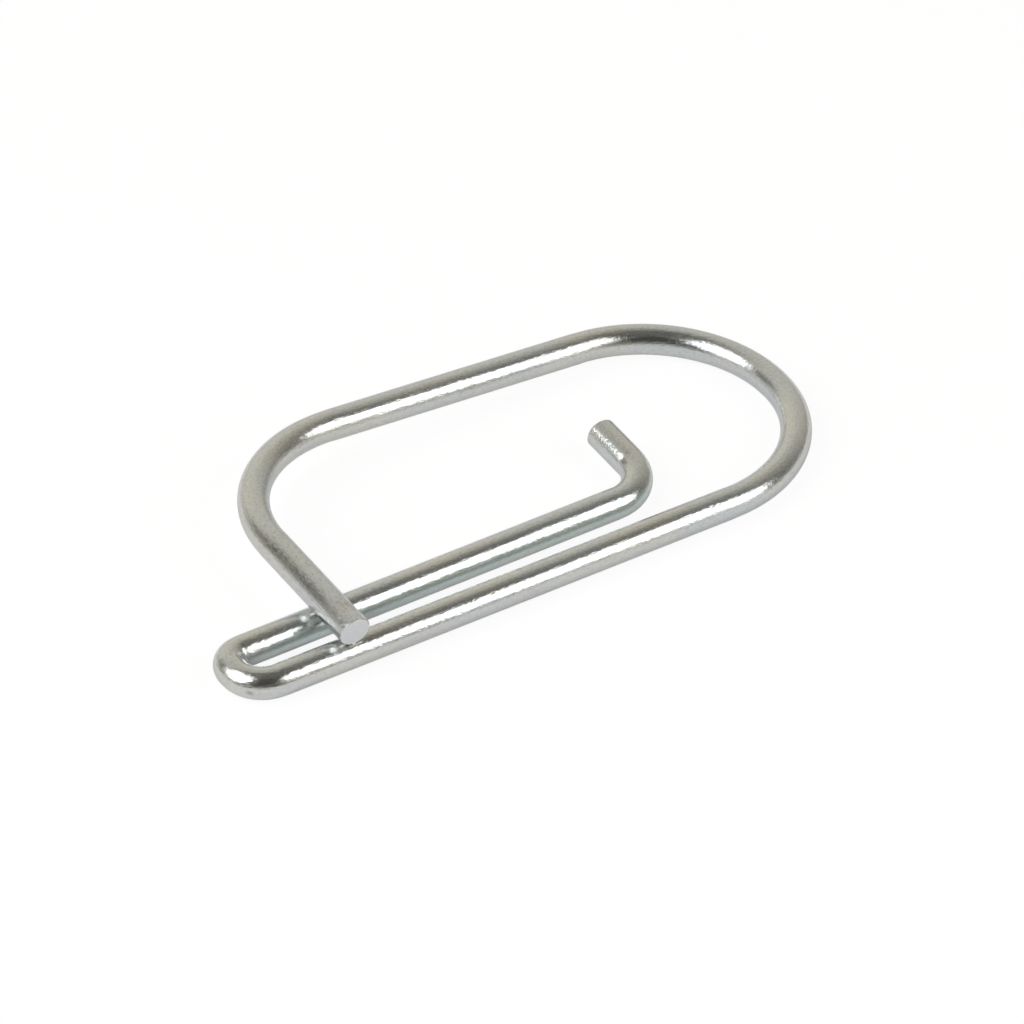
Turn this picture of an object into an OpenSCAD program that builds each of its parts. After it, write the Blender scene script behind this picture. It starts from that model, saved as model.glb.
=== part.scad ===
// Wire clip for a hitch or coupler: one length of round wire bent into a hooked pin leg, an outer leg
// beside it and a closed loop, whose cut end crosses over both legs and keeps the clip shut.
// Millimetres, real size. The legs lie on the ground plane at z = 0, +X runs along the outer leg from
// the leg bend to the crown of the loop, +Y runs across the loop, and the origin is at the middle of
// the clip's footprint.

/* [Wire] */
// Diameter of the wire in its straight lengths
wire_d = 5; // [4:0.1:5.8]
// How much thinner the wire is where it is bent, from being stretched
bend_thin = 0.08; // [0.08:0.01:0.3]

/* [Pin leg and hook] */
// Straight length of the pin leg, between the leg bend and the hook
pin_leg_len = 65.3; // [50:0.1:80]
// Centre-line radius of the hook
hook_r = 6.6; // [4:0.1:10]
// Angle that the hook turns through
hook_angle = 92; // [70:0.5:100]
// Angle that the hook is rolled up about the pin leg, from lying flat
hook_lift = 6; // [0:0.5:12]
// Straight length of the hook's tip
tip_len = 8.2; // [4:0.1:14]

/* [Leg bend] */
// Centre-line radius of the leg bend on the pin leg's side
toe_pin_r = 3.1; // [3:0.1:6]
// Centre-line radius of the leg bend on the outer leg's side
toe_outer_r = 5; // [3:0.1:7]
// Straight length between the two halves of the leg bend
toe_len = 0.5; // [0.5:0.1:3]
// Angle of the whole leg bend: below 180 the legs spread toward the hook
toe_angle = 179.5; // [178:0.1:181]

/* [Loop] */
// Straight length of the outer leg
outer_leg_len = 78.1; // [72:0.1:95]
// Centre-line radius of the loop's bends
loop_r = 22.1; // [19:0.1:26]
// Straight length at the crown, between the two halves of the loop's end bend
crown_len = 0.6; // [0.5:0.1:6]
// Angle of the loop's whole end bend: below 180 the top run spreads from the legs
loop_angle = 179.5; // [178:0.1:181]

/* [Crossing arm] */
// Angle of the bend from the top run into the arm
arm_angle = 91; // [80:0.5:100]
// Where the arm's cut end is along the outer leg, from the leg bend
arm_at = 11.7; // [6:0.1:20]
// How far the cut end reaches past the outer leg's centre line
arm_past = 1.4; // [0:0.1:8]
// Clearance between the arm and the legs that it crosses
arm_gap = 0.1; // [0.06:0.01:1]

/* [Ends] */
// Chamfer on the hook's tip
tip_chamfer = 0.4; // [0.1:0.05:1]
// Chamfer on the arm's cut end
cut_chamfer = 0.25; // [0.1:0.05:1]

/* [Hidden] */
$fn = 48;
zinc = [0.72, 0.72, 0.70];
bend_d = wire_d - bend_thin;
// How far a bend laps into the straight length on each side of it
lap = 0.2;
// The end bend is made in two halves with the crown between them, and the part of the loop that comes
// after the crown is rolled up about the crown's line, so that the arm lies over the legs.
half = loop_angle / 2;
rise = wire_d + arm_gap;
crown_x = outer_leg_len + loop_r * sin(half) + crown_len * cos(half);
crown_y = loop_r * (1 - cos(half)) + crown_len * sin(half);
// The cut end as seen from above: its place along the crown's line, and its distance from that line
end_along = (arm_at - crown_x) * cos(half) - (arm_past + crown_y) * sin(half);
end_off = (crown_x - arm_at) * sin(half) - (arm_past + crown_y) * cos(half);
lift = atan2(rise, end_off);
// The top run and the arm are as long as they have to be for the cut end to come there
heading = half + arm_angle;
want_along = end_along - loop_r * sin(heading);
want_off = norm([end_off, rise]) - loop_r * (1 - cos(heading));
top_run_len = (want_along * sin(heading) - want_off * cos(heading)) / sin(arm_angle);
arm_len = (want_off * cos(half) - want_along * sin(half)) / sin(arm_angle);
// Footprint of the whole clip
top_along = loop_r * sin(half) + top_run_len * cos(half);
top_off = loop_r * (1 - cos(half)) + top_run_len * sin(half);
top_y = crown_y + top_along * sin(half) + top_off * cos(lift) * cos(half);
low_x = -toe_outer_r - wire_d / 2;
high_x = outer_leg_len + loop_r + wire_d / 2;
middle = [(low_x + high_x) / 2, top_y / 2, -wire_d / 2];

// Each of these draws a piece of wire that starts at the origin heading along +X, and moves what comes
// after it on to the piece's far end.
module run(len) {
  rotate([0, 90, 0])
    cylinder(d = wire_d, h = len);
  translate([len, 0, 0])
    children();
}

// A bend to the left, toward +Y
module bend(radius, angle) {
  over = lap / radius * 180 / PI;
  translate([0, radius, 0]) {
    rotate([0, 0, -90 - over])
      rotate_extrude(angle = angle + 2 * over)
        translate([radius, 0])
          circle(d = bend_d);
    rotate([0, 0, angle])
      translate([0, -radius, 0])
        children();
  }
}

module roll(angle) {
  rotate([angle, 0, 0])
    children();
}

// A last straight length, with a chamfered end
module end_run(len, chamfer) {
  rotate([0, 90, 0]) {
    cylinder(d = wire_d, h = len - chamfer);
    translate([0, 0, len - chamfer])
      cylinder(d1 = wire_d, d2 = wire_d - 2 * chamfer, h = chamfer);
  }
}

module loop_side() {
  run(outer_leg_len)
    bend(loop_r, half)
      run(crown_len)
        roll(lift)
          bend(loop_r, half)
            run(top_run_len)
              bend(loop_r, arm_angle)
                end_run(arm_len, cut_chamfer);
}

module pin_side() {
  rotate([0, 0, 180])
    roll(180)
      bend(toe_outer_r, toe_angle / 2)
        run(toe_len)
          bend(toe_pin_r, toe_angle / 2)
            run(pin_leg_len)
              roll(180 + hook_lift)
                bend(hook_r, hook_angle)
                  end_run(tip_len, tip_chamfer);
}

module wire_clip() {
  color(zinc)
    translate(-middle) {
      loop_side();
      pin_side();
    }
}

wire_clip();
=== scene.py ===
"""Looks of a wire hitch clip: one bent length of bright zinc-plated wire on a pale studio floor.

The wire's sizes are in millimetres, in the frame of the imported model, and become metres in the mesh.
The stage's sizes are in metres.
"""
import logging
import math
from dataclasses import dataclass, field
from enum import Enum

import bpy
import numpy as np
from mathutils import Matrix, Vector


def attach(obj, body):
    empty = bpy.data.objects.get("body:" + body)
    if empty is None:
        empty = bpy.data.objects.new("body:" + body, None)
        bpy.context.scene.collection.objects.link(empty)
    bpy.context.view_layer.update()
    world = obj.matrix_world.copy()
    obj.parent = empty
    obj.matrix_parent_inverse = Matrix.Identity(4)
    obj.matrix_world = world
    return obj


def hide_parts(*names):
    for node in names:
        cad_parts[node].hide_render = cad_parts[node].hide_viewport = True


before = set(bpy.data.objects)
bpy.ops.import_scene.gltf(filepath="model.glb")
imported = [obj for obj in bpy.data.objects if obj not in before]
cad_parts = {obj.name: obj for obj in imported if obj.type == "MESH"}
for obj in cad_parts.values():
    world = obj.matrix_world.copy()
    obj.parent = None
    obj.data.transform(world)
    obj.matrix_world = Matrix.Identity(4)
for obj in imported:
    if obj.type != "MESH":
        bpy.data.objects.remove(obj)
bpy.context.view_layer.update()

MM = 0.001
LOG = logging.getLogger("wire_clip")


class Hand(Enum):
    """The side that a bend turns to, for someone who walks along the wire from the hook's tip."""

    LEFT = 1.0
    RIGHT = -1.0


class Skin(Enum):
    """The named layers of the wire's mesh that its finish reads."""

    DRAWN = "drawn_place"
    MARKS = "draw_marks"
    SHEARED = "sheared"
    PITTED = "pitted"
    # Painted reflection: a lighter teal on the pin leg's side between the legs.
    TEAL_PAINTED_REFLECTION = "teal_painted_reflection"
    STAINED = "stained"
    # Painted dark reflection: a streak of dull flecks along the arm.
    PAINTED_DARK_STREAK = "painted_dark_streak"
    UNROLLED = "OFBake"


def outward(azimuth: float, elevation: float) -> Vector:
    """Works out the direction from the clip to a place around it.

    Args:
        azimuth: Angle from -Y toward +X, in degrees.
        elevation: Angle above the floor, in degrees.

    Returns:
        The direction, of length 1.
    """
    turn, rise = math.radians(azimuth), math.radians(elevation)
    return Vector((math.sin(turn) * math.cos(rise), -math.cos(turn) * math.cos(rise), math.sin(rise)))


class Bench:
    """A material's node tree, with short ways to set nodes on it and to join them."""

    def __init__(self, name: str) -> None:
        """Starts an empty tree that holds only the output.

        Args:
            name: The material's name.
        """
        self.material = bpy.data.materials.new(name)
        self.material.use_nodes = True
        self.tree = self.material.node_tree
        self.tree.nodes.clear()
        self.output = self.add("ShaderNodeOutputMaterial")

    def add(self, kind: str, **settings: object) -> bpy.types.Node:
        """Adds a node.

        Args:
            kind: The node's type name.
            settings: Properties of the node, and values of its inputs by name with _ for a space.

        Returns:
            The new node.
        """
        node = self.tree.nodes.new(kind)
        for name, value in settings.items():
            if hasattr(node, name):
                setattr(node, name, value)
            else:
                node.inputs[name.replace("_", " ")].default_value = value
        return node

    def join(self, source: bpy.types.NodeSocket, target: bpy.types.NodeSocket) -> None:
        """Joins an output to an input."""
        self.tree.links.new(source, target)

    def layer(self, skin: Skin, output: str = "Fac") -> bpy.types.NodeSocket:
        """Returns what one of the mesh's layers holds."""
        return self.add("ShaderNodeAttribute", attribute_name=skin.value).outputs[output]

    def toward(self, place: bpy.types.NodeSocket, direction: Vector) -> bpy.types.NodeSocket:
        """Works out how squarely a place lies in a direction.

        Args:
            place: The place, as a direction of length 1.
            direction: The direction, of length 1.

        Returns:
            The cosine of the angle between them.
        """
        node = self.add("ShaderNodeVectorMath", operation="DOT_PRODUCT")
        node.inputs[1].default_value = direction
        self.join(place, node.inputs[0])
        return node.outputs["Value"]

    def ramp(self, source: bpy.types.NodeSocket, low: float, high: float, to_low: float, to_high: float,
             smooth: bool = True) -> bpy.types.NodeSocket:
        """Maps a value from one range to another and holds it inside.

        Args:
            source: The value.
            low: Start of its range.
            high: End of its range.
            to_low: What the start becomes.
            to_high: What the end becomes.
            smooth: Whether the change eases in and out.

        Returns:
            The mapped value.
        """
        node = self.add("ShaderNodeMapRange", interpolation_type="SMOOTHSTEP" if smooth else "LINEAR",
                        From_Min=low, From_Max=high, To_Min=to_low, To_Max=to_high)
        self.join(source, node.inputs["Value"])
        return node.outputs["Result"]

    def maths(self, operation: str, first: bpy.types.NodeSocket,
              second: bpy.types.NodeSocket | float) -> bpy.types.NodeSocket:
        """Works out one sum.

        Args:
            operation: The sum's name.
            first: First value.
            second: Second value, joined or fixed.

        Returns:
            The result.
        """
        node = self.add("ShaderNodeMath", operation=operation)
        self.join(first, node.inputs[0])
        if isinstance(second, float):
            node.inputs[1].default_value = second
        else:
            self.join(second, node.inputs[1])
        return node.outputs[0]

    def noise(self, place: bpy.types.NodeSocket, stretch: tuple[float, float, float], detail: float,
              roughness: float) -> bpy.types.NodeSocket:
        """Makes an even random pattern.

        Args:
            place: Where on the surface it is read.
            stretch: How many times the pattern repeats per unit, in each direction.
            detail: How many finer patterns are laid over it.
            roughness: How strong the finer ones are.

        Returns:
            The pattern's value, near 0.5.
        """
        scaled = self.add("ShaderNodeMapping", Scale=stretch)
        self.join(place, scaled.inputs["Vector"])
        node = self.add("ShaderNodeTexNoise", Scale=1.0, Detail=detail, Roughness=roughness)
        self.join(scaled.outputs["Vector"], node.inputs["Vector"])
        return node.outputs["Fac"]

    def blend(self, share: bpy.types.NodeSocket, first: object, second: object) -> bpy.types.NodeSocket:
        """Blends two colours.

        Args:
            share: Share of the second colour.
            first: First colour, joined or fixed.
            second: Second colour, joined or fixed.

        Returns:
            The blended colour.
        """
        node = self.add("ShaderNodeMix", data_type="RGBA")
        self.join(share, node.inputs["Factor"])
        for socket, value in zip((node.inputs[6], node.inputs[7]), (first, second)):
            if isinstance(value, tuple):
                socket.default_value = (*value, 1.0)
            else:
                self.join(value, socket)
        return node.outputs[2]

    def bump(self, height: bpy.types.NodeSocket, depth: float,
             under: bpy.types.NodeSocket | None = None) -> bpy.types.NodeSocket:
        """Raises a pattern on the surface.

        Args:
            height: The pattern.
            depth: Its full height, in metres.
            under: The surface that it is raised on, or the plain one.

        Returns:
            The raised surface.
        """
        node = self.add("ShaderNodeBump", Strength=1.0, Distance=depth)
        self.join(height, node.inputs["Height"])
        if under is not None:
            self.join(under, node.inputs["Normal"])
        return node.outputs["Normal"]


@dataclass(frozen=True)
class BrightZinc:
    """Bright zinc plating on drawn steel wire: fine grain, drawing marks along the wire, and a pale cut, with
    two painted reflections: a teal one between the legs and a dark streak along the arm.

    The patterns are in repeats per millimetre: twice across the wire, then along it.
    """

    clear: tuple[float, float, float] = (0.712, 0.742, 0.750)
    straw: tuple[float, float, float] = (0.748, 0.747, 0.702)
    # The dull colour is used for real specks and wear, and also paints the dark streak along the arm and
    # darkens the pit.
    dull: tuple[float, float, float] = (0.36, 0.365, 0.34)
    # Painted reflection: the teal below stands on the pin leg's side between the legs for the tinted light
    # reflected there, and is made lighter to lift a dark reflection.
    teal_painted_reflection: tuple[float, float, float] = (0.66, 0.785, 0.765)
    stain: tuple[float, float, float] = (0.58, 0.50, 0.45)
    bare: tuple[float, float, float] = (0.83, 0.84, 0.855)
    cloud: tuple[float, float, float] = (0.22, 0.22, 0.07)
    drawn: tuple[float, float, float] = (3.2, 3.2, 0.16)
    fleck: tuple[float, float, float] = (3.4, 3.4, 1.3)
    speck: tuple[float, float, float] = (3.4, 3.4, 2.6)
    grain: tuple[float, float, float] = (2.9, 2.9, 1.8)
    fleck_share: float = 0.42
    speck_share: float = 0.19
    painted_streak_least: float = 0.22
    stain_least: float = 0.3
    bare_share: float = 0.85
    polish: float = 0.15
    haze: float = 0.25
    cut_haze: float = 0.5
    grain_depth: float = 3.4e-5
    mark_depth: float = 4.5e-5

    def material(self) -> bpy.types.Material:
        """Builds the finish.

        Returns:
            The material.
        """
        bench = Bench("bright_zinc")
        place = bench.layer(Skin.DRAWN, "Vector")
        marks, sheared = bench.layer(Skin.MARKS), bench.layer(Skin.SHEARED)
        cloud = bench.noise(place, self.cloud, 2.0, 0.5)
        drawn = bench.noise(place, self.drawn, 4.0, 0.6)
        fleck = bench.noise(place, self.fleck, 3.0, 0.6)
        speck = bench.noise(place, self.speck, 2.0, 0.6)
        grain = bench.noise(place, self.grain, 3.0, 0.5)

        tint = bench.blend(bench.ramp(cloud, 0.35, 0.65, 0.0, 1.0), self.clear, self.straw)
        # Painted reflection: a lighter teal on the pin leg's side between the legs, in place of the light
        # reflected there.
        tint = bench.blend(bench.layer(Skin.TEAL_PAINTED_REFLECTION), tint, self.teal_painted_reflection)
        stained = bench.ramp(fleck, 0.35, 0.60, self.stain_least, 1.0)
        tint = bench.blend(bench.maths("MULTIPLY", bench.layer(Skin.STAINED), stained), tint, self.stain)
        tint = bench.blend(bench.ramp(speck, 0.40, 0.66, 0.0, self.speck_share), tint, self.dull)
        worn = bench.maths("MULTIPLY", marks, bench.ramp(fleck, 0.50, 0.68, 0.0, self.fleck_share))
        # Painted dark reflection: dull flecks gathered in a streak along the arm, where the tent's dark gap
        # is mirrored; worn then holds both real wear and this painted shade.
        painted_dark_streak = bench.ramp(fleck, 0.38, 0.58, self.painted_streak_least, 1.0)
        worn = bench.maths("MAXIMUM", worn, bench.maths("MULTIPLY", bench.layer(Skin.PAINTED_DARK_STREAK), painted_dark_streak))
        # The pit's hollow is darkened to the dull colour as well.
        worn = bench.maths("MAXIMUM", worn, bench.layer(Skin.PITTED))
        tint = bench.blend(worn, tint, self.dull)
        tint = bench.blend(bench.maths("MULTIPLY", sheared, self.bare_share), tint, self.bare)

        haze = bench.ramp(bench.maths("ADD", grain, drawn), 0.8, 1.25, self.polish, self.haze)
        haze = bench.maths("MAXIMUM", haze, bench.maths("MULTIPLY", sheared, self.cut_haze))

        depth = bench.maths("MULTIPLY", bench.maths("ADD", drawn, fleck), marks)
        surface = bench.bump(grain, self.grain_depth, bench.bump(depth, self.mark_depth))

        metal = bench.add("ShaderNodeBsdfPrincipled", Metallic=1.0)
        bench.join(tint, metal.inputs["Base Color"])
        bench.join(haze, metal.inputs["Roughness"])
        bench.join(surface, metal.inputs["Normal"])
        bench.join(metal.outputs[0], bench.output.inputs["Surface"])
        return bench.material


@dataclass(frozen=True)
class PaleFloor:
    """A floor that is plain paper in the metal's reflections, and white with a faint shadow to the camera."""

    paper: tuple[float, float, float] = (0.85, 0.85, 0.872)
    paper_glow: float = 0.13
    shadowed: tuple[float, float, float] = (0.13, 0.13, 0.13)
    glow: float = 0.91

    def material(self) -> bpy.types.Material:
        """Builds the finish.

        Returns:
            The material.
        """
        bench = Bench("pale_floor")
        rays = bench.add("ShaderNodeLightPath").outputs
        direct = bench.maths("ADD", rays["Is Camera Ray"], rays["Is Transmission Ray"])
        mirrored = bench.maths("MULTIPLY", rays["Is Glossy Ray"], self.paper_glow)
        mix = bench.add("ShaderNodeMixShader")
        bench.join(direct, mix.inputs[0])
        for place, colour, glow in ((1, self.paper, mirrored), (2, self.shadowed, self.glow)):
            paper = bench.add("ShaderNodeBsdfDiffuse", Color=(*colour, 1.0))
            white = bench.add("ShaderNodeEmission", Color=(1.0,) * 4)
            if isinstance(glow, float):
                white.inputs["Strength"].default_value = glow
            else:
                bench.join(glow, white.inputs["Strength"])
            both = bench.add("ShaderNodeAddShader")
            bench.join(paper.outputs[0], both.inputs[0])
            bench.join(white.outputs[0], both.inputs[1])
            bench.join(both.outputs[0], mix.inputs[place])
        bench.join(mix.outputs[0], bench.output.inputs["Surface"])
        bench.material.cycles.emission_sampling = "NONE"
        return bench.material


@dataclass(frozen=True)
class TentCloth:
    """The light tent's cloth: bright behind the clip, dark toward the camera, overhead and in a gap."""

    back: float = 172.0
    turn: float = -0.42
    tint: tuple[float, float, float] = (1.0, 0.965, 0.87)
    dim: float = 0.065
    lit: float = 0.74
    low: float = 0.76
    low_height: float = 0.35
    edge: float = 0.36
    edge_height: float = 0.42
    overhead: float = 0.14
    overhead_height: float = 0.85
    gap_azimuth: float = -141.0
    gap_elevation: float = 26.0
    gap_wide: float = 20.0
    gap_core: float = 6.0
    gap_shade: float = 0.42

    def material(self) -> bpy.types.Material:
        """Builds the finish.

        Returns:
            The material.
        """
        bench = Bench("tent_cloth")
        unit = bench.add("ShaderNodeVectorMath", operation="NORMALIZE")
        bench.join(bench.add("ShaderNodeTexCoord").outputs["Object"], unit.inputs[0])
        place = unit.outputs["Vector"]
        height = bench.toward(place, Vector((0.0, 0.0, 1.0)))
        behind = bench.toward(place, outward(self.back, 0.0))
        wall = bench.ramp(behind, self.turn, 1.0, self.dim, self.lit, smooth=False)
        wall = bench.maths("MULTIPLY", wall, bench.ramp(height, 0.0, self.low_height, self.low, 1.0))
        top = bench.add("ShaderNodeMix", data_type="FLOAT", B=self.overhead)
        bench.join(bench.ramp(height, self.overhead_height, 1.0, 0.0, 1.0), top.inputs["Factor"])
        bench.join(wall, top.inputs["A"])
        edge = bench.ramp(height, 0.02, self.edge_height, self.edge, 0.0)
        wall = bench.maths("MAXIMUM", top.outputs["Result"], edge)
        gap = bench.toward(place, outward(self.gap_azimuth, self.gap_elevation))
        wide, core = (math.cos(math.radians(angle)) for angle in (self.gap_wide, self.gap_core))
        wall = bench.maths("MULTIPLY", wall, bench.ramp(gap, wide, core, 1.0, self.gap_shade))
        cloth = bench.add("ShaderNodeEmission", Color=(*self.tint, 1.0))
        bench.join(wall, cloth.inputs["Strength"])
        bench.join(cloth.outputs[0], bench.output.inputs["Surface"])
        bench.material.cycles.emission_sampling = "NONE"
        return bench.material


@dataclass(frozen=True)
class StraightRun:
    """A straight length of the wire."""

    name: str
    length: float
    marks: float
    roll: float = 0.0

    def pose(self, share: float) -> Matrix:
        """Returns the pose at a share of the run, from its start."""
        return Matrix.Translation((self.length * share, 0.0, 0.0))

    def steps(self, gap: float) -> int:
        """Returns how many rings of the mesh the run takes, at most gap apart."""
        return max(1, math.ceil(self.length / gap))


@dataclass(frozen=True)
class Bend:
    """A bent length of the wire, after a roll of the bending plane about the wire."""

    name: str
    radius: float
    angle: float
    hand: Hand
    marks: float
    roll: float = 0.0
    fine: float = 2.5

    @property
    def length(self) -> float:
        """Length along the centre line."""
        return self.radius * math.radians(self.angle)

    def pose(self, share: float) -> Matrix:
        """Works out the pose at a share of the bend.

        Args:
            share: Share of the bend's angle, from its start.

        Returns:
            The pose, from the bend's start.
        """
        centre = Matrix.Translation((0.0, self.radius * self.hand.value, 0.0))
        sweep = Matrix.Rotation(math.radians(self.angle * share) * self.hand.value, 4, "Z")
        roll = Matrix.Rotation(math.radians(self.roll), 4, "X")
        return roll @ centre @ sweep @ centre.inverted()

    def steps(self, gap: float) -> int:
        """Returns how many rings of the mesh the bend takes, at most gap or fine degrees apart."""
        return max(math.ceil(self.length / gap), math.ceil(self.angle / self.fine))


@dataclass
class Rings:
    """The wire's cross-sections in order, one row of each array for each ring of the mesh."""

    place: np.ndarray
    ahead: np.ndarray
    left: np.ndarray
    up: np.ndarray
    along: np.ndarray
    bent: np.ndarray
    marks: np.ndarray


@dataclass
class WireRoute:
    """The wire's centre line, walked from the hook's tip to the cut end of the crossing arm."""

    lengths: list[StraightRun | Bend]
    origin: str
    middle: Vector
    gap: float = 0.6
    ease: float = 1.2

    def walk(self) -> Rings:
        """Walks the wire and sets a ring at each step.

        Returns:
            The rings, placed so that the length named by origin starts at the wire's own origin.
        """
        pose, spin, along, origin = Matrix.Identity(4), 0.0, 0.0, Matrix.Identity(4)
        rows, spans = [], []
        for index, length in enumerate(self.lengths):
            if length.name == self.origin:
                origin = pose.copy()
            spin -= math.radians(length.roll)
            count = length.steps(self.gap)
            for step in range(0 if index == 0 else 1, count + 1):
                share = step / count
                rows.append((pose @ length.pose(share) @ Matrix.Rotation(spin, 4, "X"),
                             along + length.length * share))
            spans.append((along, along + length.length))
            pose = pose @ length.pose(1.0)
            along += length.length
        home = Matrix.Translation(-self.middle) @ origin.inverted()
        poses = np.array([home @ row[0] for row in rows])
        places = np.array([row[1] for row in rows])
        bent = np.zeros(len(rows))
        for length, (start, end) in zip(self.lengths, spans):
            if isinstance(length, Bend):
                inside = np.minimum(places - start, end - places) / self.ease + 0.5
                share = np.clip(inside, 0.0, 1.0)
                bent = np.maximum(bent, share * share * (3.0 - 2.0 * share))
        marks = np.interp(places, [(start + end) / 2 for start, end in spans],
                          [length.marks for length in self.lengths])
        return Rings(place=poses[:, :3, 3], ahead=poses[:, :3, 0], left=poses[:, :3, 1],
                     up=poses[:, :3, 2], along=places, bent=bent, marks=marks)


@dataclass(frozen=True)
class ChamferedTip:
    """The hook's tip: a flat face and a chamfer with worn corners."""

    chamfer: float = 0.4
    worn: float = 0.10
    crown: float = 0.04

    def profile(self, radius: float, around: np.ndarray) -> list[tuple[np.ndarray, np.ndarray, float]]:
        """Draws the end from the wire's side to the face's middle.

        Args:
            radius: The wire's radius.
            around: Angle of each point round the ring.

        Returns:
            For each ring: how far back from the end it lies, its radius, and how bare it is.
        """
        flat = np.ones_like(around)
        worn, chamfer = self.worn, self.chamfer
        steps = [(chamfer + worn, radius), (chamfer + 0.3 * worn, radius - 0.08 * worn),
                 (chamfer - 0.4 * worn, radius - 0.5 * worn),
                 (0.5 * chamfer, radius - 0.5 * chamfer),
                 (self.crown + 0.7 * worn, radius - chamfer + 0.6 * worn),
                 (self.crown + 0.2 * worn, radius - chamfer + 0.05 * worn),
                 (self.crown, radius - chamfer - 0.6 * worn)]
        rings = [(flat * back, flat * size, 0.0) for back, size in steps]
        face = radius - chamfer - 0.6 * worn
        for share in (0.8, 0.6, 0.4, 0.2):
            rings.append((flat * self.crown * share * share, flat * face * share, 0.3))
        return rings


@dataclass(frozen=True)
class ShearedEnd:
    """The arm's cut end: a slanted sheared face, rolled over on the side where the blade went in."""

    edge: float = 0.12
    roll_over: float = 0.42
    roll_side: float = 8.0
    slant: float = 12.0
    slant_side: float = 270.0
    reach: float = 1.0

    def profile(self, radius: float, around: np.ndarray) -> list[tuple[np.ndarray, np.ndarray, float]]:
        """Draws the end from the wire's side to the face's middle.

        Args:
            radius: The wire's radius.
            around: Angle of each point round the ring.

        Returns:
            For each ring: how far back from the end it lies, its radius, and how bare it is.
        """
        near = (0.5 + 0.5 * np.cos(around - math.radians(self.roll_side))) ** 3
        edge = self.edge + self.roll_over * near
        steep = math.tan(math.radians(self.slant))
        lean = steep * np.cos(around - math.radians(self.slant_side))
        start = radius * steep - self.reach
        rings = []
        for step in range(9):
            angle = math.radians(90.0 * step / 8)
            size = radius - edge * (1.0 - math.cos(angle))
            back = edge * (1.0 - math.sin(angle)) + size * lean + start
            rings.append((back, size, 0.0 if step < 5 else 1.0))
        face = radius - edge
        for share in (0.97, 0.85, 0.65, 0.45, 0.25, 0.1):
            rings.append((face * share * lean + start, face * share, 1.0))
        return rings


@dataclass(frozen=True)
class Pit:
    """A small pit in the wire's surface."""

    along: float
    around: float
    width: float
    depth: float

    def share(self, along: np.ndarray, around: np.ndarray, radius: float) -> np.ndarray:
        """Works out how far the surface is sunk into the pit.

        Args:
            along: Place along the wire of each ring.
            around: Angle of each point round a ring.
            radius: The wire's radius.

        Returns:
            The share of the pit's depth at each point of each ring.
        """
        turn = np.angle(np.exp(1j * (around - math.radians(self.around)))) * radius
        off = np.hypot(along[:, None] - self.along, turn[None, :]) / (self.width / 2)
        return np.exp(-off ** 2)


@dataclass(frozen=True)
class Tinge:
    """A tinge of colour over a length of the wire and on one side of it, used for a stain and for painted
    reflections.
    """

    start: float
    end: float
    fade: float
    around: float
    spread: float
    strength: float

    def share(self, along: np.ndarray, around: np.ndarray) -> np.ndarray:
        """Works out how strong the tinge is.

        Args:
            along: Place along the wire of each ring.
            around: Angle of each point round a ring.

        Returns:
            The tinge at each point of each ring.
        """
        turn = np.abs(np.angle(np.exp(1j * (around - math.radians(self.around)))))
        side = np.clip(1.0 - turn / math.radians(self.spread), 0.0, 1.0)
        length = np.clip(np.minimum(along - self.start, self.end - along) / self.fade, 0.0, 1.0)
        return self.strength * length[:, None] * (side * side * (3.0 - 2.0 * side))[None, :]


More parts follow.
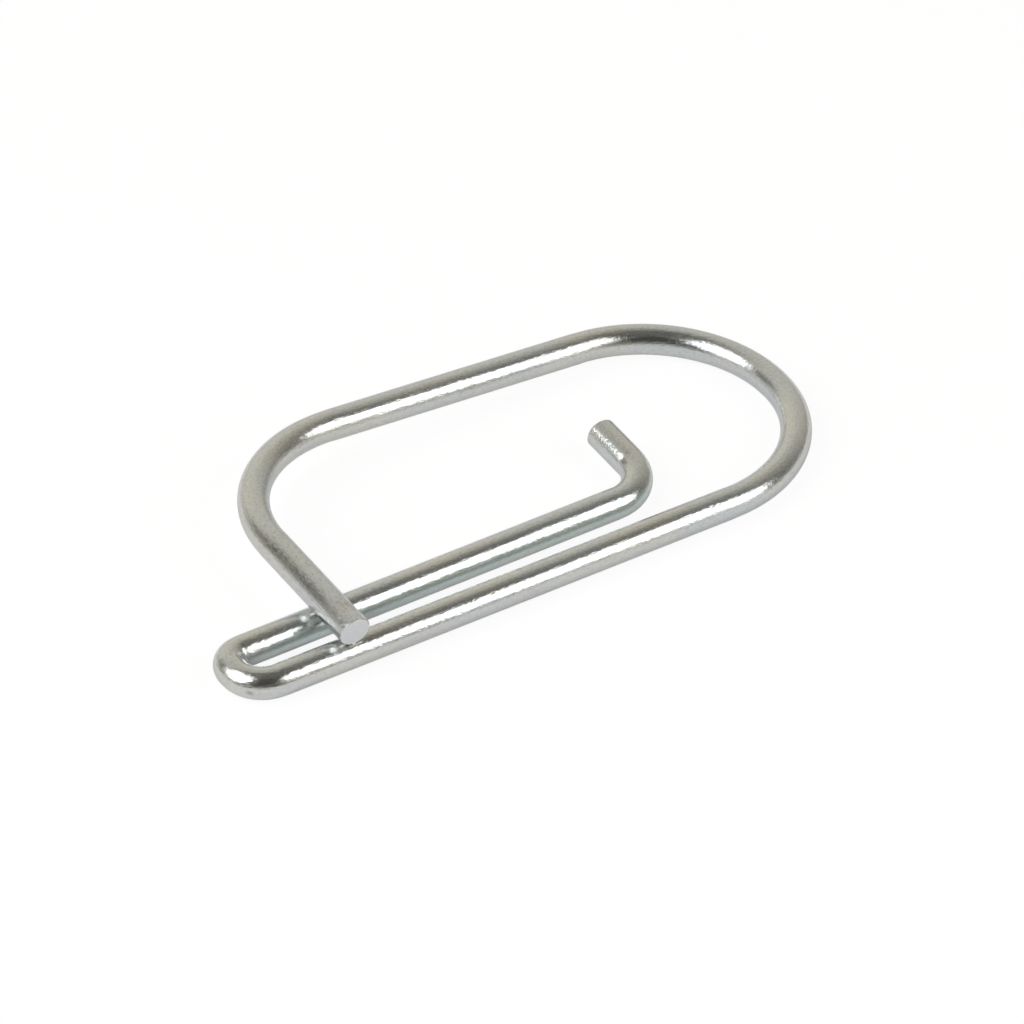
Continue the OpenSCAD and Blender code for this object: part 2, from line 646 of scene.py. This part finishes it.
@dataclass
class WireClip:
    """The clip: a hooked pin leg, an outer leg beside it, and a loop whose arm crosses over both legs."""

    wire_d: float = 5.0
    rubbed: float = 0.016
    bend_thin: float = 0.08
    pin_leg_len: float = 65.3
    hook_r: float = 6.6
    hook_angle: float = 92.0
    hook_lift: float = 6.0
    tip_len: float = 8.2
    toe_pin_r: float = 3.1
    toe_outer_r: float = 5.0
    toe_len: float = 0.5
    toe_angle: float = 179.5
    outer_leg_len: float = 78.1
    loop_r: float = 22.1
    crown_len: float = 0.6
    loop_angle: float = 179.5
    arm_angle: float = 91.0
    arm_at: float = 11.7
    arm_past: float = 1.4
    arm_gap: float = 0.1
    sides: int = 96
    strips: int = 5
    end_clear: float = 0.05
    tip: ChamferedTip = field(default_factory=ChamferedTip)
    cut: ShearedEnd = field(default_factory=ShearedEnd)
    finish: BrightZinc = field(default_factory=BrightZinc)

    def route(self) -> WireRoute:
        """Works out the centre line, with the loop rolled up so that the arm lies over the legs.

        Returns:
            The wire's route.
        """
        half = math.radians(self.loop_angle / 2)
        rise = self.wire_d + self.arm_gap
        crown_x = self.outer_leg_len + self.loop_r * math.sin(half) + self.crown_len * math.cos(half)
        crown_y = self.loop_r * (1 - math.cos(half)) + self.crown_len * math.sin(half)
        end_along = (self.arm_at - crown_x) * math.cos(half) - (self.arm_past + crown_y) * math.sin(half)
        end_off = (crown_x - self.arm_at) * math.sin(half) - (self.arm_past + crown_y) * math.cos(half)
        lift = math.atan2(rise, end_off)
        arm = math.radians(self.arm_angle)
        heading = half + arm
        want_along = end_along - self.loop_r * math.sin(heading)
        want_off = math.hypot(end_off, rise) - self.loop_r * (1 - math.cos(heading))
        top_run = (want_along * math.sin(heading) - want_off * math.cos(heading)) / math.sin(arm)
        arm_len = (want_off * math.cos(half) - want_along * math.sin(half)) / math.sin(arm)
        top_along = self.loop_r * math.sin(half) + top_run * math.cos(half)
        top_off = self.loop_r * (1 - math.cos(half)) + top_run * math.sin(half)
        top_y = crown_y + top_along * math.sin(half) + top_off * math.cos(lift) * math.cos(half)
        low_x = -self.toe_outer_r - self.wire_d / 2
        high_x = self.outer_leg_len + self.loop_r + self.wire_d / 2
        toe, loop = self.toe_angle / 2, self.loop_angle / 2
        return WireRoute(
            [StraightRun("tip", self.tip_len, marks=0.15),
             Bend("hook", self.hook_r, self.hook_angle, Hand.RIGHT, marks=0.25),
             StraightRun("pin_leg", self.pin_leg_len, marks=0.3),
             Bend("toe_pin", self.toe_pin_r, toe, Hand.LEFT, marks=0.4, roll=self.hook_lift),
             StraightRun("toe", self.toe_len, marks=0.4),
             Bend("toe_outer", self.toe_outer_r, toe, Hand.LEFT, marks=0.4),
             StraightRun("outer_leg", self.outer_leg_len, marks=0.3),
             Bend("loop_low", self.loop_r, loop, Hand.LEFT, marks=0.45),
             StraightRun("crown", self.crown_len, marks=0.5),
             Bend("loop_high", self.loop_r, loop, Hand.LEFT, marks=0.6, roll=math.degrees(lift)),
             StraightRun("top_run", top_run, marks=0.4),
             Bend("arm_bend", self.loop_r, self.arm_angle, Hand.LEFT, marks=0.6),
             StraightRun("arm", arm_len, marks=1.0)],
            "outer_leg", Vector(((low_x + high_x) / 2, top_y / 2, -self.wire_d / 2)))

    def pits(self) -> list[Pit]:
        """Places the pit, on the outside of the leg bend.

        Returns:
            The pit, in a list.
        """
        before = self.tip_len + self.pin_leg_len + self.toe_len
        before += self.hook_r * math.radians(self.hook_angle)
        before += self.toe_pin_r * math.radians(self.toe_angle / 2)
        halfway = self.toe_outer_r * math.radians(self.toe_angle / 4)
        return [Pit(along=before + halfway, around=187.0, width=0.7, depth=0.22)]

    def tinges(self, total: float) -> dict[Skin, Tinge]:
        """Places the tinges: a painted teal reflection on the pin leg's side between the legs, a stain by the
        cut end, and a painted dark reflection in a streak of dull flecks along the arm.

        Args:
            total: Length of the whole wire.

        Returns:
            The tinge of each layer.
        """
        leg = self.tip_len + self.hook_r * math.radians(self.hook_angle)
        # Painted reflection: the teal tinge on the pin leg's side between the legs.
        return {Skin.TEAL_PAINTED_REFLECTION: Tinge(start=leg - 9.0, end=leg + self.pin_leg_len, fade=6.0,
                                       around=12.0, spread=80.0, strength=0.6),
                Skin.STAINED: Tinge(start=total - 5.2, end=total - 1.2, fade=1.6,
                                    around=97.0, spread=60.0, strength=0.7),
                # Painted dark reflection: dull flecks along the arm where the dark gap is mirrored.
                Skin.PAINTED_DARK_STREAK: Tinge(start=total - 26.0, end=total - 3.0, fade=5.0,
                                    around=137.0, spread=33.0, strength=1.0)}

    def surface(self, rings: Rings) -> tuple[np.ndarray, np.ndarray, dict[Skin, np.ndarray]]:
        """Draws the wire's skin, with both ends.

        Args:
            rings: The cross-sections of the wire.

        Returns:
            Points of each ring, their places on the wire as it was drawn, and each layer's values there.
        """
        radius = (self.wire_d - self.rubbed) / 2
        around = np.linspace(0.0, 2.0 * math.pi, self.sides, endpoint=False)
        size = radius - self.bend_thin / 2 * rings.bent[:, None] * np.ones((1, self.sides))
        sunk = np.zeros_like(size)
        for pit in self.pits():
            share = pit.share(rings.along, around, radius)
            size = size - pit.depth * share
            sunk = np.maximum(sunk, share)
        total = rings.along[-1]
        start = self.tip.profile(radius, around)
        end = self.cut.profile(radius, around)
        first = start[0][0].max() + self.end_clear
        inner = (rings.along > first) & (rings.along < total - end[0][0].max() - self.end_clear)

        last = len(rings.along) - 1
        rows: list[tuple[int, np.ndarray, np.ndarray, float]] = []
        rows += [(0, back, ring, bare) for back, ring, bare in reversed(start)]
        rows += [(index, np.zeros(self.sides), size[index], 0.0) for index in np.flatnonzero(inner)]
        rows += [(last, -back, ring, bare) for back, ring, bare in end]

        points, drawn = [], []
        layers: dict[Skin, list[np.ndarray]] = {Skin.MARKS: [], Skin.SHEARED: [], Skin.PITTED: []}
        tinges = {skin: tinge.share(rings.along, around) for skin, tinge in self.tinges(total).items()}
        layers.update({skin: [] for skin in tinges})
        every = np.ones(self.sides)
        for index, ahead, ring, bareness in rows:
            out = np.cos(around)[:, None] * rings.left[index] + np.sin(around)[:, None] * rings.up[index]
            points.append(rings.place[index] + ring[:, None] * out + ahead[:, None] * rings.ahead[index])
            drawn.append(np.stack([ring * np.cos(around), ring * np.sin(around),
                                   rings.along[index] + ahead], axis=1))
            layers[Skin.MARKS].append(every * rings.marks[index])
            layers[Skin.SHEARED].append(every * bareness)
            layers[Skin.PITTED].append(sunk[index])
            for skin, tinge in tinges.items():
                layers[skin].append(tinge[index])
        return np.array(points), np.array(drawn), {skin: np.array(rows) for skin, rows in layers.items()}

    def unroll(self, mesh: bpy.types.Mesh, drawn: np.ndarray, faces: np.ndarray) -> None:
        """Lays the skin out flat in strips side by side.

        Args:
            mesh: The wire's mesh.
            drawn: Places of the points on the wire as it was drawn.
            faces: The four corners of each side face, as ring and side numbers.
        """
        steps = np.linalg.norm(np.diff(drawn.mean(axis=1), axis=0), axis=1)
        steps = np.maximum(steps, np.abs(np.diff(np.linalg.norm(drawn[:, 0, :2], axis=1))))
        along = np.concatenate([[0.0], np.cumsum(steps)])
        share = along / along[-1] * self.strips
        strip = np.minimum(np.floor(share[faces[:, 0, 0]]), self.strips - 1)
        across = faces[:, :, 1] / self.sides
        upward = np.clip(share[faces[:, :, 0]] - strip[:, None], 0.0, 1.02)
        margin, top = 0.006, 0.97
        beside = 0.5 + (across - 0.5) * (1.0 - 2.0 * margin * self.strips)
        flat = np.stack([(strip[:, None] + beside) / self.strips, margin + upward * (top - margin)], axis=2)
        layer = mesh.uv_layers.new(name=Skin.UNROLLED.value)
        places = np.zeros((len(mesh.loops), 2))
        places[:flat.shape[0] * 4] = flat.reshape(-1, 2)
        # The middles of both ends share one small corner of the sheet.
        left, low, size = 0.002, 0.985, 0.004
        corner = [(left, low), (left + size, low), (left, low + size)]
        spare = (len(mesh.loops) - flat.shape[0] * 4) // 3
        places[flat.shape[0] * 4:] = np.tile(corner, (spare, 1))
        layer.uv.foreach_set("vector", places.ravel())

    def build(self) -> bpy.types.Object:
        """Builds the wire's mesh and dresses it.

        Returns:
            The wire.
        """
        rings = self.route().walk()
        points, drawn, layers = self.surface(rings)
        count = len(points)
        ring, side = np.meshgrid(np.arange(count - 1), np.arange(self.sides), indexing="ij")
        ring, side = ring.ravel(), side.ravel()
        corners = np.stack([np.stack([ring, side], 1), np.stack([ring, side + 1], 1),
                            np.stack([ring + 1, side + 1], 1), np.stack([ring + 1, side], 1)], axis=1)
        quads = corners[:, :, 0] * self.sides + corners[:, :, 1] % self.sides
        last = count * self.sides
        turn = [(n, (n + 1) % self.sides) for n in range(self.sides)]
        fans = [(b, a, last) for a, b in turn]
        fans += [(a + last - self.sides, b + last - self.sides, last + 1) for a, b in turn]
        middles = np.stack([points[0].mean(axis=0), points[-1].mean(axis=0)])
        vertices = np.concatenate([points.reshape(-1, 3), middles]) * MM
        mesh = bpy.data.meshes.new("bent_wire")
        mesh.from_pydata(vertices.tolist(), [], quads.tolist() + fans)
        mesh.shade_smooth()
        self.paint(mesh, drawn, layers)
        self.unroll(mesh, drawn, corners)
        mesh.materials.append(self.finish.material())
        wire = bpy.data.objects.new("bent_wire", mesh)
        bpy.context.scene.collection.objects.link(wire)
        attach(wire, "root")
        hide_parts("wire_clip")
        return wire

    def paint(self, mesh: bpy.types.Mesh, drawn: np.ndarray, layers: dict[Skin, np.ndarray]) -> None:
        """Writes the layers that the finish reads.

        Args:
            mesh: The wire's mesh.
            drawn: Places of the points on the wire as it was drawn.
            layers: The other layers' values at each point of each ring.
        """
        places = np.concatenate([drawn.reshape(-1, 3), drawn[[0, -1]].mean(axis=1)])
        layer = mesh.attributes.new(Skin.DRAWN.value, "FLOAT_VECTOR", "POINT")
        layer.data.foreach_set("vector", places.ravel())
        for skin, values in layers.items():
            spread = np.concatenate([values.ravel(), values[[0, -1]].mean(axis=1)])
            layer = mesh.attributes.new(skin.value, "FLOAT", "POINT")
            layer.data.foreach_set("value", spread)


@dataclass
class StudioFloor:
    """The floor that the clip lies on."""

    reach: float = 2.0
    finish: PaleFloor = field(default_factory=PaleFloor)

    def build(self) -> bpy.types.Object:
        """Builds the floor.

        Returns:
            The floor.
        """
        r = self.reach
        mesh = bpy.data.meshes.new("floor")
        mesh.from_pydata([(-r, -r, 0.0), (r, -r, 0.0), (r, r, 0.0), (-r, r, 0.0)], [], [(0, 1, 2, 3)])
        mesh.materials.append(self.finish.material())
        floor = bpy.data.objects.new("floor", mesh)
        bpy.context.scene.collection.objects.link(floor)
        return floor


@dataclass
class LightTent:
    """A round tent over the floor, which the metal shows and the camera doesn't see."""

    radius: float = 1.6
    rows: int = 24
    columns: int = 72
    finish: TentCloth = field(default_factory=TentCloth)

    def build(self) -> bpy.types.Object:
        """Builds the tent.

        Returns:
            The tent.
        """
        points = []
        for row in range(self.rows):
            rise = math.pi / 2 * row / self.rows
            for column in range(self.columns):
                turn = 2 * math.pi * column / self.columns
                points.append((self.radius * math.cos(rise) * math.cos(turn),
                               self.radius * math.cos(rise) * math.sin(turn), self.radius * math.sin(rise)))
        top = len(points)
        points.append((0.0, 0.0, self.radius))
        faces = []
        for column in range(self.columns):
            after = (column + 1) % self.columns
            for row in range(self.rows - 1):
                low, high = row * self.columns, (row + 1) * self.columns
                faces.append((low + after, low + column, high + column, high + after))
            low = (self.rows - 1) * self.columns
            faces.append((low + after, low + column, top))
        mesh = bpy.data.meshes.new("tent")
        mesh.from_pydata(points, [], faces)
        mesh.shade_smooth()
        mesh.materials.append(self.finish.material())
        tent = bpy.data.objects.new("tent", mesh)
        bpy.context.scene.collection.objects.link(tent)
        tent.visible_camera = False
        return tent


@dataclass(frozen=True)
class Softbox:
    """A soft lamp that faces the clip."""

    name: str
    azimuth: float
    elevation: float
    width: float
    height: float
    level: float
    distance: float = 0.75

    def build(self) -> bpy.types.Object:
        """Builds the lamp, at a power that gives its face the wanted level.

        Returns:
            The lamp.
        """
        data = bpy.data.lights.new(self.name, "AREA")
        data.shape = "ELLIPSE"
        data.size, data.size_y = self.width, self.height
        data.energy = self.level * math.pi * (math.pi / 4 * self.width * self.height)
        lamp = bpy.data.objects.new(self.name, data)
        bpy.context.scene.collection.objects.link(lamp)
        back = outward(self.azimuth, self.elevation)
        lamp.location = back * self.distance
        lamp.rotation_mode = "QUATERNION"
        lamp.rotation_quaternion = (-back).to_track_quat("-Z", "Y")
        lamp.visible_camera = False
        return lamp


@dataclass(frozen=True)
class StudioCamera:
    """The camera, above the leg bend and a little to its left, with its place in millimetres."""

    azimuth: float = -30.2245
    elevation: float = 38.0491
    roll: float = -1.35
    distance: float = 718.465
    lens: float = 167.556
    sensor: float = 36.0
    aim: tuple[float, float, float] = (-0.3076, -9.3332, 4.814)

    def build(self) -> bpy.types.Object:
        """Builds the camera and makes it the scene's own.

        Returns:
            The camera.
        """
        turn, roll = math.radians(self.azimuth), math.radians(self.roll)
        back = outward(self.azimuth, self.elevation)
        right = Vector((math.cos(turn), math.sin(turn), 0.0))
        up = back.cross(right)
        right, up = (math.cos(roll) * right + math.sin(roll) * up,
                     math.cos(roll) * up - math.sin(roll) * right)
        data = bpy.data.cameras.new("camera")
        data.sensor_width, data.lens = self.sensor, self.lens
        data.clip_start, data.clip_end = 0.01, 20.0
        camera = bpy.data.objects.new("camera", data)
        bpy.context.scene.collection.objects.link(camera)
        place = (Vector(self.aim) + back * self.distance) * MM
        camera.matrix_world = Matrix.Translation(place) @ Matrix((right, up, back)).transposed().to_4x4()
        bpy.context.scene.camera = camera
        return camera


def set_world() -> None:
    """Gives the scene a plain white surround and plain colours."""
    scene = bpy.context.scene
    scene.view_settings.view_transform = "Standard"
    scene.world = bpy.data.worlds.new("white")
    scene.world.use_nodes = True
    backdrop = scene.world.node_tree.nodes["Background"]
    backdrop.inputs["Color"].default_value = (1.0, 1.0, 1.0, 1.0)
    backdrop.inputs["Strength"].default_value = 1.0


def main() -> None:
    """Builds the clip, its stage, its lamps and its camera, in that order."""
    logging.basicConfig(level=logging.INFO, format="%(name)s: %(message)s")
    wire = WireClip().build()
    LOG.info("%s: %d points, %d faces", wire.name, len(wire.data.vertices), len(wire.data.polygons))
    set_world()
    for stage in (StudioFloor(), LightTent()):
        LOG.info("%s: stage", stage.build().name)
    for lamp in (
            Softbox("left_softbox", azimuth=-97.6, elevation=41.0, width=0.66, height=0.76, level=2.4),
            Softbox("right_spill", azimuth=34.0, elevation=29.0, width=0.58, height=0.80, level=0.35),
            Softbox("right_softbox", azimuth=34.0, elevation=32.4, width=0.50, height=0.57, level=2.4)):
        LOG.info("%s: lamp", lamp.build().name)
    camera = StudioCamera()
    LOG.info("%s: lens %.1f mm", camera.build().name, camera.lens)


if __name__ == "__main__":
    main()
